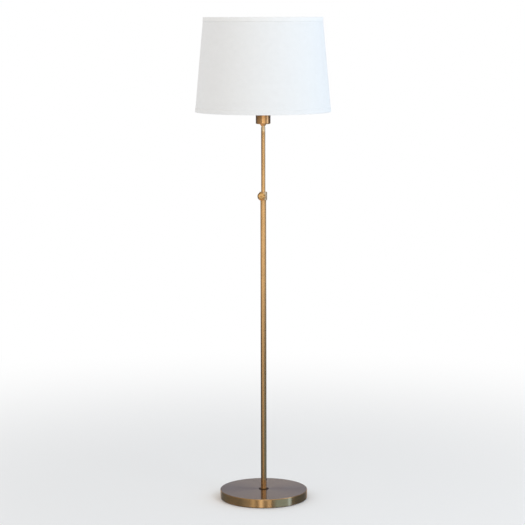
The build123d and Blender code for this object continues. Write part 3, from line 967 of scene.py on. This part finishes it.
def tapeSurface(look, edge, inward, ring, around):
    # tape folded over one edge of the shade: outer band, turn over the edge, lip down inside the wire ring
    half = look["tapeThickness"] / 2
    ringLow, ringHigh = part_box(ring)
    wire = (ringHigh.z - ringLow.z) / 2
    far = (topLow.z if inward < 0 else bottomHigh.z) + inward * -half
    lip = ringHigh.x - 2 * wire - look["tapeLip"] - half
    stand = tapeStand - half
    fold = edge + inward * half
    middle = roundedRun([
        (coneRadius(far) + stand, far, 0.0),
        (coneRadius(fold) + stand, fold, look["tapeRound"]),
        (lip, fold, look["tapeRound"]),
        (lip, (ringLow.z + ringHigh.z) / 2, 0.0),
    ], look["tapeSteps"], look["tapeHold"])
    ahead = np.gradient(middle, axis=0)
    ahead /= np.linalg.norm(ahead, axis=1, keepdims=True)
    normal = np.stack([ahead[:, 1], -ahead[:, 0]], 1) * -inward
    order = np.arange(len(middle))
    taper = half * np.minimum(1, look["tapeTip"] + np.minimum(order, order[::-1]) / 2)
    side = normal * taper[:, None]
    run = np.concatenate([middle + side, (middle - side)[::-1]])
    length = np.concatenate([[0], np.cumsum(np.linalg.norm(np.diff(middle, axis=0), axis=1))])
    length = np.concatenate([length, length[::-1], length[:1]])
    if inward < 0:
        run, length = run[::-1], length[::-1]
    points = roundShade(run[:, :1] + lapRise(around, look, True), run[:, 1:], around)
    cutAround = np.append(around, 2 * pi) * linenHigh.x
    cut = np.stack(np.broadcast_arrays(cutAround, length[:, None]), -1)
    return points, cut


def hangShade(look):
    points, cut, flatSize, flatArea = linenSurface(look)
    linen = linenPaint("linen", look, False)
    bias = linenPaint("linenOnBias", look, True)
    # the top tape's paler linen is painted light
    topLitBias = linenPaint("topTapeLitLinen", look["topTapePaintedLight"], True)
    mesh = gridMesh("shade_cloth", points, False, False, cut)
    cloth = addPiece(mesh, "column", "linen", linen, "shade_linen")
    addWall(cloth, look["tapeThickness"])
    for name, edge, inward, ring, replaced, paint in (
        ("shade_top_tape", topHigh.z, -1, "shade_top_ring", "shade_top_trim", topLitBias),
        ("shade_bottom_tape", bottomLow.z, 1, "shade_bottom_ring", "shade_bottom_trim", bias),
    ):
        points, cut = tapeSurface(look, edge, inward, ring, fullTurn(look["columns"]))
        mesh = gridMesh(name, points, True, True, cut)
        addPiece(mesh, "column", "linen", paint, replaced)


hangShade(shade)
print("shade hung")


# Felt under the foot, with a soft cut edge
pad = {
    "columns": 180,
    "edgeRound": 0.6 * mm,
    "ripple": 0.5 * mm,
    "rippleWaves": (17, 5),
    "ripplePhase": 1.1,
    "tones": ((0.018, 0.018, 0.019), (0.075, 0.074, 0.072)),
    "paleShare": 1.6,
    "fibreScale": 1900.0,
    "matScale": 300.0,
    "rough": (0.88, 0.1),
    "relief": (0.6, 0.25 * mm),
}


def feltPaint(look):
    # matted wool: crossing fibres at two scales, whose noise sets the felt between its dark and paler tones
    paint = Paint("woolFelt", {"Sheen Weight": 0.12, "Sheen Roughness": 0.6, "Specular IOR Level": 0.1})
    fibres = paint.noise(paint.place(), look["fibreScale"], detail=5.0, roughness=0.75)
    mat = paint.noise(paint.place(), look["matScale"], detail=4.0, roughness=0.6)
    paint.tones(fibres * mat * look["paleShare"], *look["tones"])
    return paint.finish(look, fibres + mat, mat)


def layFelt(look):
    # disc turned about the pole: flat below and above, edge rounded and a little uneven where it was cut
    low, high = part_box("base_felt")
    run = roundedRun([
        (0.0, low.z, 0.0),
        (high.x, low.z, look["edgeRound"]),
        (high.x, high.z, look["edgeRound"]),
        (0.0, high.z, 0.0),
    ])
    angles = fullTurn(look["columns"])
    quick, slow = look["rippleWaves"]
    uneven = look["ripple"] * (np.sin(quick * angles) * np.sin(slow * angles + look["ripplePhase"]) - 1)
    edge = (run[:, 0] > high.x / 2)[:, None]
    points = turnRun(run, angles, poleAxes) + (edge * uneven)[..., None] * spokes(angles, poleAxes)
    mesh = gridMesh("felt_pad", points, True, False)
    closePoles(mesh)
    piece = addPiece(mesh, "stand", "felt", feltPaint(look), "base_felt")


layFelt(pad)
print("felt laid")


# Thumb knob with a fluted rim, and the threaded screw behind it
knob = brass | {
    "flutes": 72,
    "stepsPerFlute": 6,
    "fluteDepth": 0.28 * mm,
    "fluteRows": 9,
    "fluteFade": 6,
    "backBevel": 1.2 * mm,
    "faceBevel": 4.6 * mm,
    "bevelDrop": 3.0 * mm,
    "faceDish": 0.25 * mm,
    "dimpleRadius": 1.5 * mm,
    "dimpleDepth": 0.7 * mm,
    "holeFit": 0.1 * mm,
    "edge": 0.25 * mm,
    "edgeSteps": 4,
    "rimFit": 0.02 * mm,
    "color": (0.98, 0.59, 0.225),
    "patina": (0.32, 0.155, 0.055),
    "patinaShare": 0.08,
    # painted shade on the bevel and in the dimple
    "bevelPaintedShade": 0.22,
    "bevelFade": 0.4 * mm,
    "dimplePaintedShade": 0.7,
    "dimpleFade": (0.5, 1.4),
    "rough": (0.28, 0.12, 0.05),
}
screw = {
    "pitch": 1.0 * mm,
    "depth": 0.55 * mm,
    "endBreak": 0.25 * mm,
    "stepsPerTurn": 48,
    "stepsPerPitch": 10,
}


def knobBrass(look, edge):
    # face in the plain alloy colour, darker on the bevel and in the dimple as painted shade
    paint = Paint("knobBrass", metal)
    lines, radius = turnedLines(paint, screwAxes, look)[:2]
    bevel = edge - look["faceBevel"]
    # painted shade over the bevel
    worn = paint.ease(radius, bevel - look["bevelFade"], bevel + look["bevelFade"]) * look["bevelPaintedShade"]
    start, end = (look["dimpleRadius"] * share for share in look["dimpleFade"])
    # painted shade in the dimple
    dimple = 1 - paint.ease(radius, start, end)
    return brassSkin(paint, look, lines, worn + dimple * look["dimplePaintedShade"])


def turnKnob(look):
    # profile turned about the screw's axis; the rim's flutes are |cos| waves that fade towards the bevels
    back, face, edge = reach("clamp_knob", screwAxes)
    shankEnd, shank = reach("clamp_screw", screwAxes)[1:]
    hole = shank + look["holeFit"]
    rimLow = back + look["backBevel"]
    rimHigh = face - look["bevelDrop"]
    dished = face - look["faceDish"]
    run = roundedRun([
        (0.0, shankEnd, 0.0),
        (hole, shankEnd, look["edge"]),
        (hole, back, look["edge"]),
        (edge - look["backBevel"], back, look["edge"]),
        (edge, rimLow, look["edge"]),
        (edge, rimHigh, look["edge"]),
        (edge - look["faceBevel"], face, look["edge"]),
        (look["dimpleRadius"] * 2, dished, 2 * look["edge"]),
        (look["dimpleRadius"], dished, look["edge"]),
        (0.0, dished - look["dimpleDepth"], 0.0),
    ], look["edgeSteps"])
    onEdge = np.isclose(run[:, 0], edge, atol=1e-6)
    rim = np.argmax(np.diff(run[:, 1]) * (onEdge[1:] & onEdge[:-1]))
    rimRun = np.linspace(run[rim], run[rim + 1], look["fluteRows"])
    run = np.concatenate([run[:rim], rimRun, run[rim + 2:]])
    angles = fullTurn(look["flutes"] * look["stepsPerFlute"])
    onRim = np.clip((run[:, 0] - edge) / look["rimFit"] + 1, 0, 1)
    middle = (run[:, 1] - rimLow) / (rimHigh - rimLow)
    band = onRim * np.clip(look["fluteFade"] * np.minimum(middle, 1 - middle), 0, 1)
    groove = look["fluteDepth"] * (1 - np.abs(np.cos(angles * look["flutes"] / 2)))
    points = turnRun(run, angles, screwAxes)
    points -= (band[:, None] * groove)[..., None] * spokes(angles, screwAxes)
    mesh = gridMesh("thumb_knob", points, True, False)
    closePoles(mesh)
    addPiece(mesh, "clamp", "antique_brass", knobBrass(look, edge), "clamp_knob")


def cutScrew(look):
    # radius over (angle, height): a V that climbs one pitch each turn, easing to plain metal at the two ends
    start, end, radius = reach("clamp_screw", screwAxes)
    angles = fullTurn(look["stepsPerTurn"])
    rows = int((end - start) / look["pitch"] * look["stepsPerPitch"])
    height = np.linspace(start, end, rows)
    wave = (height[:, None] / look["pitch"] - angles / (2 * pi)) % 1.0
    fade = np.clip(np.minimum(height - start, end - height) / look["pitch"], 0, 1)[:, None]
    r = radius - look["depth"] * fade * np.abs(2 * wave - 1) - look["endBreak"] * (fade <= 0)
    r = np.concatenate([0 * r[:1], r, 0 * r[:1]])
    height = np.concatenate([height[:1], height, height[-1:]])
    out = r[..., None] * spokes(angles, screwAxes)
    points = np.array(screwAxes[0]) + out + height[:, None, None] * screwAxis
    mesh = gridMesh("thumb_screw", points, True, False)
    closePoles(mesh)
    addPiece(mesh, "clamp", "zinc_steel", slotPaints["zinc_steel"], "clamp_screw")


turnKnob(knob)
cutScrew(screw)
print("knob and screw turned")


# Studio: white behind everything, soft light that is warm from the front and cool from the right, one lamp
studio = {
    "floorColor": (0.80, 0.80, 0.80),
    "floorSize": 16.0,
    "floorFade": (0.5, 2.6),
    "floorTuck": 8.0 * mm,
    "floorDrop": 0.2 * mm,
    "columns": 96,
    "white": (1.0, 1.0, 1.0),
    "ambientLeft": (0.91, 0.925, 0.95),
    "ambientFront": (0.985, 0.925, 0.85),
    "ambientRight": (0.775, 0.98, 1.205),
}
keyLamp = {
    "place": (2.6, -2.6, 2.6),
    "target": (0.0, 0.0, 0.9),
    "size": 1.6,
    "power": 30.0,
    "color": (0.90, 0.97, 1.04),
}


def pane(middle, half, soft, color, above=None, below=None):
    return {"middle": middle, "half": half, "soft": soft, "color": color, "above": above, "below": below}


# Screens that only the metal mirrors: a closed drum of (radius, height) rows carried round the lamp
# each has a tone and panes: the angle of the middle (from the camera round by the right), half the width,
# the soft edge and the colour, some only above or below a height; later panes lie over earlier ones
paneFade = {"above": 0.06, "below": 0.08}
backPanes = [
    pane(178.0, 26.0, 8.0, (0.30, 0.30, 0.30)),
    pane(163.0, 5.0, 4.0, (0.48, 0.48, 0.48)),
    pane(178.0, 5.0, 4.0, (0.85, 0.83, 0.80)),
    pane(-162.0, 6.0, 4.0, (0.60, 0.59, 0.58)),
]
wallPanes = [
    pane(-68.0, 43.0, 10.0, (0.27, 0.26, 0.26)),
    pane(-75.0, 34.0, 10.0, (0.60, 0.585, 0.57), below=0.75),
    pane(36.0, 24.0, 5.0, (0.40, 0.39, 0.39)),
    pane(36.0, 24.0, 8.0, (0.74, 0.73, 0.72), below=0.80),
    pane(-4.0, 16.5, 5.0, (1.22, 1.21, 1.20)),
    pane(8.0, 23.0, 8.0, (1.28, 1.25, 1.20), below=0.91),
    pane(6.0, 26.0, 8.0, (1.98, 1.93, 1.84), above=0.79, below=0.93),
    pane(-40.0, 14.0, 5.0, (1.25, 1.22, 1.18), below=0.56),
    pane(-3.0, 26.0, 8.0, (1.02, 1.0, 0.97), below=0.60),
    pane(-45.0, 22.0, 8.0, (0.22, 0.215, 0.21), above=0.60, below=0.75),
    pane(-45.0, 20.0, 8.0, (0.62, 0.60, 0.58), above=0.77, below=0.92),
    pane(72.0, 14.0, 4.0, (0.92, 1.00, 1.22)),
    pane(73.0, 12.0, 4.0, (1.06, 1.22, 1.60), above=0.82),
    pane(122.0, 22.0, 8.0, (0.05, 0.055, 0.075), above=0.82),
    pane(-125.0, 25.0, 10.0, (0.05, 0.05, 0.065), above=0.82),
    pane(165.0, 22.0, 10.0, (0.90, 0.90, 0.90), below=0.82),
    pane(-150.0, 8.0, 5.0, (0.75, 0.75, 0.74), below=0.82),
    pane(-4.0, 60.0, 12.0, (0.17, 0.165, 0.16), above=1.02, below=1.45),
    pane(180.0, 80.0, 15.0, (0.275, 0.27, 0.325), above=1.00),
    pane(-105.0, 40.0, 12.0, (0.20, 0.165, 0.14), above=1.90),
]
skirtPanes = [
    pane(52.0, 39.0, 8.0, (0.19, 0.22, 0.28)),
    pane(-23.0, 37.0, 10.0, (0.54, 0.53, 0.53)),
    pane(-42.0, 15.0, 8.0, (0.68, 0.67, 0.66)),
    *backPanes,
]
plinthPanes = [
    pane(-105.0, 30.0, 12.0, (0.60, 0.43, 0.32), below=-1.72),
    pane(108.0, 30.0, 10.0, (0.085, 0.115, 0.16)),
    pane(-8.0, 28.0, 6.0, (0.18, 0.18, 0.18)),
    pane(-32.0, 17.0, 8.0, (0.66, 0.65, 0.64), above=-0.74),
    pane(-28.0, 5.0, 4.0, (0.50, 0.50, 0.48)),
    pane(-7.0, 5.0, 4.0, (1.0, 0.97, 0.92)),
    pane(14.5, 4.5, 4.0, (0.72, 0.70, 0.68)),
    pane(49.0, 20.0, 9.0, (0.24, 0.44, 0.72)),
    pane(71.5, 5.0, 3.5, (0.48, 0.90, 1.70)),
    *backPanes,
]
ceilingPanes = [pane(75.0, 60.0, 30.0, (0.66, 0.70, 0.78))]
groundPanes = [pane(75.0, 60.0, 30.0, (0.44, 0.40, 0.38))]
screens = {
    "wallScreen": {"run": [(4.0, 0.0), (4.0, 5.0)], "tone": (0.22, 0.28, 0.40), "panes": wallPanes},
    "ceilingScreen": {"run": [(4.0, 5.0), (0.01, 5.0)], "tone": (0.46, 0.455, 0.45), "panes": ceilingPanes},
    "skirtScreen": {"run": [(4.0, -0.55), (4.0, 0.0)], "tone": (0.10, 0.11, 0.13), "panes": skirtPanes},
    "plinthScreen": {"run": [(4.0, -3.0), (4.0, -0.55)], "tone": (0.125, 0.15, 0.19), "panes": plinthPanes},
    "groundScreen": {"run": [(0.01, -3.0), (4.0, -3.0)], "tone": (0.56, 0.43, 0.34), "panes": groundPanes},
}


def lightWorld(setup):
    # what lights the lamp changes from left to right; what is seen is white
    world = bpy.data.worlds.new("studioWorld")
    world.use_nodes = True
    scene.world = world
    graph = Graph(world.node_tree)
    toRight = graph.split(graph.node("ShaderNodeTexCoord", {}, {}, "Generated"))[0]
    left, front, right = (tint(setup[side]) for side in ("ambientLeft", "ambientFront", "ambientRight"))
    soft = graph.blend(graph.ease(toRight, -1.0, 0.0), left, front)
    soft = graph.blend(graph.ease(toRight, 0.0, 1.0), soft, right)
    color = graph.blend(graph.seenRays(), soft, tint(setup["white"]))
    back = world.node_tree.nodes["Background"]
    back.inputs["Strength"].default_value = 1.0
    world.node_tree.links.new(color.socket, back.inputs["Color"])


def hangLamp(look):
    lamp = bpy.data.lights.new("keyLamp", "AREA")
    lamp.shape = "DISK"
    lamp.size = look["size"]
    lamp.energy = look["power"]
    lamp.color = look["color"]
    holder = bpy.data.objects.new("keyLamp", lamp)
    aim = (Vector(look["place"]) - Vector(look["target"])).to_track_quat("Z", "Y").to_matrix().to_4x4()
    holder.matrix_world = Matrix.Translation(look["place"]) @ aim
    holder.visible_glossy = False
    scene.collection.objects.link(holder)


def stageObject(name, run, paint):
    mesh = gridMesh(name, turnRun(np.array(run), fullTurn(studio["columns"]), poleAxes), True, False)
    made = bpy.data.objects.new(name, mesh)
    mesh.materials.append(paint.material)
    scene.collection.objects.link(made)
    return made


def layFloor(setup):
    # pale ring, tucked a little way under the foot, that keeps the shadow near the lamp
    # it fades into the white behind it, is clear from below and doesn't show in the metal
    constants = {"Base Color": tint(setup["floorColor"]), "Roughness": 0.9, "Specular IOR Level": 0.1}
    paint = Paint("floorPaint", constants)
    far = paint.ease(paint.vector("LENGTH", paint.place()), *setup["floorFade"])
    white = paint.node("ShaderNodeEmission", {}, {"Color": tint(setup["white"]), "Strength": 1.0})
    lit = Value(paint, paint.shader.outputs[0])
    upper = paint.node("ShaderNodeMixShader", {}, {0: paint.seenRays() * far, 1: lit, 2: white})
    under = paint.node("ShaderNodeNewGeometry", {}, {}, "Backfacing")
    clear = paint.node("ShaderNodeBsdfTransparent", {}, {})
    mixed = paint.node("ShaderNodeMixShader", {}, {0: under, 1: upper, 2: clear})
    paint.tree.links.new(mixed.socket, paint.tree.nodes["Material Output"].inputs["Surface"])
    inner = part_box("base_felt")[1].x - setup["floorTuck"]
    run = [(setup["floorSize"] / 2, -setup["floorDrop"]), (inner, -setup["floorDrop"])]
    stageObject("studioFloor", run, paint).visible_glossy = False


def screenPaint(name, look):
    # the tone, and over it each pane by how far a point's angle is from the pane's middle
    dark = {"Base Color": tint((0.0, 0.0, 0.0)), "Specular IOR Level": 0.0, "Emission Strength": 1.0}
    paint = Paint(name, dark)
    x, y, z = paint.split(paint.place())
    angle = x.sum("ARCTAN2", x, 0.0 - y) * (180 / pi)
    color = tint(look["tone"])
    for glass in look["panes"]:
        turn = {0: angle - glass["middle"], 1: 180.0, 2: -180.0}
        away = paint.node("ShaderNodeMath", {"operation": "WRAP"}, turn).size()
        share = 1 - paint.ease(away, glass["half"] - glass["soft"], glass["half"] + glass["soft"])
        if glass["below"] is not None:
            fade = paneFade["below"]
            share = share * (1 - paint.ease(z, glass["below"] - fade, glass["below"] + fade))
        if glass["above"] is not None:
            fade = paneFade["above"]
            share = share * paint.ease(z, glass["above"] - fade, glass["above"] + fade)
        color = paint.blend(share, color, tint(glass["color"]))
    paint.feed("Emission Color", color)
    return paint


def putScreen(name, look):
    screen = stageObject(name, look["run"], screenPaint(name, look))
    screen.visible_camera = False
    screen.visible_diffuse = False
    screen.visible_transmission = False
    screen.visible_shadow = False


lightWorld(studio)
hangLamp(keyLamp)
layFloor(studio)
for screenName, screenLook in screens.items():
    putScreen(screenName, screenLook)
scene.view_settings.view_transform = "Standard"
print("studio lit")
